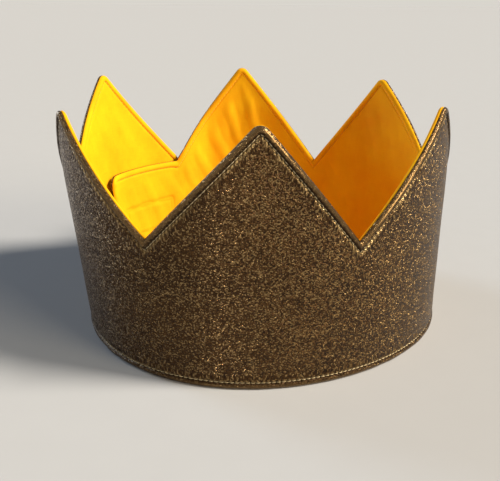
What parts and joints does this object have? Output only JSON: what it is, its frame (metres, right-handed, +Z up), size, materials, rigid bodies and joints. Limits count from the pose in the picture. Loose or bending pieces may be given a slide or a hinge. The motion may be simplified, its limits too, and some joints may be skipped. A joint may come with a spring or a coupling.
{
  "type": "fabric crown",
  "caption": "Dress-up crown sewn from gold leatherette with a yellow cotton lining: a band with tall points, closed behind by a tongue with hook and loop tape.",
  "frame": {"origin": "on the table, at the middle of the ring that the band stands on", "axes": "+Z up, the front point faces -Y, +X to the right of someone who looks at the front"},
  "size_m": [0.1902, 0.1825, 0.116],
  "materials": {
    "gold_leatherette": "metallic antique gold foil on finely pebbled leatherette, with a satin sparkle",
    "yellow_cotton": "plain woven golden yellow cotton, matte, with soft creases",
    "white_felt": "stiff needle-punched interfacing, matte",
    "hook_nylon": "woven nylon tape with rows of small hooks",
    "loop_nylon": "woven nylon tape with a soft napped pile"
  },
  "bodies": {
    "root": {"gold_shell": "gold_leatherette", "yellow_lining": "yellow_cotton", "stiffener": "white_felt", "hook_tape": "hook_nylon", "loop_tape": "loop_nylon"}
  },
  "joints": []
}
